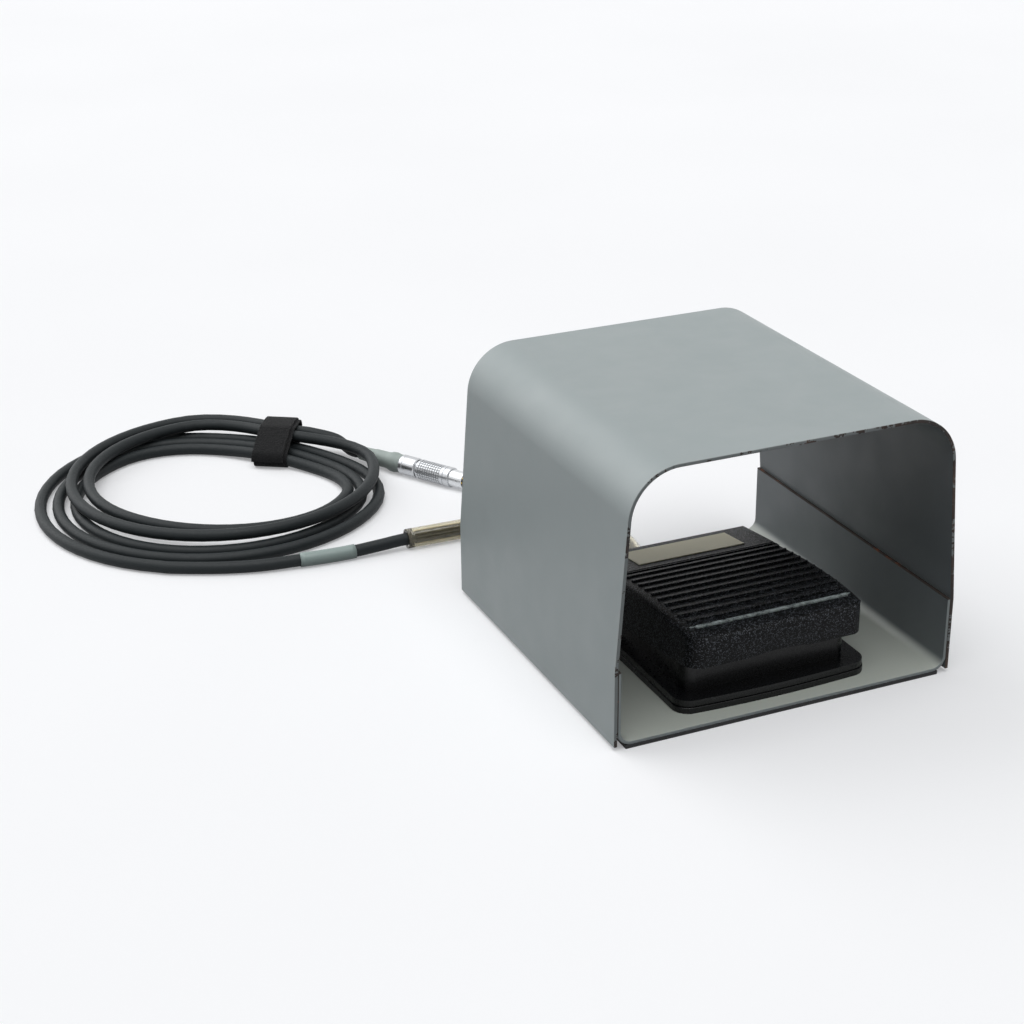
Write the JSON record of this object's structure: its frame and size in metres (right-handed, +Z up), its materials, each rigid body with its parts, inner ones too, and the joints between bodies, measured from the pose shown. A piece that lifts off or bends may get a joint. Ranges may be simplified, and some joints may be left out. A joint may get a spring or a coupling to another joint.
{
  "type": "foot switch",
  "caption": "Foot switch with a ribbed treadle under an open-ended sheet steel guard, a strapped coil of cable in a clear sleeve and a round push-pull plug.",
  "frame": {"origin": "centre of the guard's footprint, on the floor below the rubber mat", "axes": "+Z up; -Y is the open front where the foot goes in; +X to the right of someone who faces the front opening from outside"},
  "size_m": [0.3689, 0.4623, 0.137],
  "materials": {
    "guard_cover": "satin grey-green paint",
    "base_tray": "satin grey-green paint",
    "floor_mat": "matt black rubber",
    "bottom_plate": "black paint",
    "base_seal": "black rubber",
    "switch_base": "black grained paint on a casting",
    "mounting_screws": "zinc-plated steel",
    "treadle": "black grained paint, worn on the ribs",
    "hinge_pins": "ground steel",
    "blank_plate": "cream printed plate, blank",
    "return_springs": "spring steel",
    "stop_pads": "black rubber",
    "microswitch_body": "moulded black plastic",
    "microswitch_lever": "stainless strip",
    "microswitch_plunger": "red moulded plastic",
    "microswitch_terminals": "tinned brass",
    "microswitch_screws": "zinc-plated steel",
    "switch_bracket": "zinc-plated steel strip",
    "bracket_screws": "zinc-plated steel",
    "switch_wires": "insulated wire",
    "cable_clamp": "black nylon",
    "clamp_screws": "zinc-plated steel",
    "cable_grommet": "black rubber",
    "cable_inner": "dark grey jacket",
    "clear_sleeve": "clear soft plastic, slightly yellow",
    "cable_lead": "dark grey jacket",
    "cable_marker": "grey-green wrap, blank",
    "cable_coil": "dark grey jacket",
    "coil_strap": "black hook-and-loop tape",
    "cable_tail": "dark grey jacket",
    "plug_boot": "grey shrink sleeve",
    "plug_nut": "satin nickel-chrome",
    "plug_shell": "satin nickel-chrome",
    "plug_sleeve": "satin nickel-chrome, knurled",
    "plug_insert": "black moulded insert",
    "plug_pins": "gold-plated pins"
  },
  "bodies": {
    "switch_frame": {"guard_cover": "guard_cover", "base_tray": "base_tray", "floor_mat": "floor_mat", "bottom_plate": "bottom_plate", "base_seal": "base_seal", "switch_base": "switch_base", "mounting_screws": "mounting_screws", "return_springs": "return_springs", "stop_pads": "stop_pads", "microswitch_body": "microswitch_body", "microswitch_terminals": "microswitch_terminals", "microswitch_screws": "microswitch_screws", "switch_bracket": "switch_bracket", "bracket_screws": "bracket_screws", "switch_wires": "switch_wires", "cable_clamp": "cable_clamp", "clamp_screws": "clamp_screws", "cable_grommet": "cable_grommet", "cable_inner": "cable_inner", "clear_sleeve": "clear_sleeve", "cable_lead": "cable_lead", "cable_marker": "cable_marker", "cable_coil": "cable_coil", "coil_strap": "coil_strap", "cable_tail": "cable_tail", "plug_boot": "plug_boot", "plug_nut": "plug_nut", "plug_shell": "plug_shell", "plug_insert": "plug_insert", "plug_pins": "plug_pins"},
    "treadle": {"treadle": "treadle", "hinge_pins": "hinge_pins", "blank_plate": "blank_plate"},
    "switch_lever": {"microswitch_lever": "microswitch_lever"},
    "switch_plunger": {"microswitch_plunger": "microswitch_plunger"},
    "release_sleeve": {"plug_sleeve": "plug_sleeve"}
  },
  "joints": [
    {"name": "treadle_press", "type": "hinge", "parent": "switch_frame", "child": "treadle", "pos_m": [0, 0.0265, 0.018], "axis": [1, 0, 0], "range_deg": [0, 6], "stiffness_Nm_per_rad": 8, "springref_deg": -4.58, "deforming": ["return_springs"]},
    {"name": "lever_press", "type": "hinge", "parent": "switch_frame", "child": "switch_lever", "pos_m": [0, 0.0075, 0.0323], "axis": [1, 0, 0], "range_deg": [0, 10.7]},
    {"name": "plunger_press", "type": "slide", "parent": "switch_frame", "child": "switch_plunger", "axis": [0, 0, -1], "range_m": [0, 0.0012]},
    {"name": "sleeve_pull", "type": "slide", "parent": "switch_frame", "child": "release_sleeve", "axis": [-0.5135, 0.8581, 0], "range_m": [0, 0.001], "stiffness_N_per_m": 600, "springref_m": -0.001}
  ],
  "couplings": [
    {"joint": "lever_press", "follows": "treadle_press", "ratio": 1.78},
    {"joint": "plunger_press", "follows": "treadle_press", "m_per_rad": 0.01145}
  ]
}
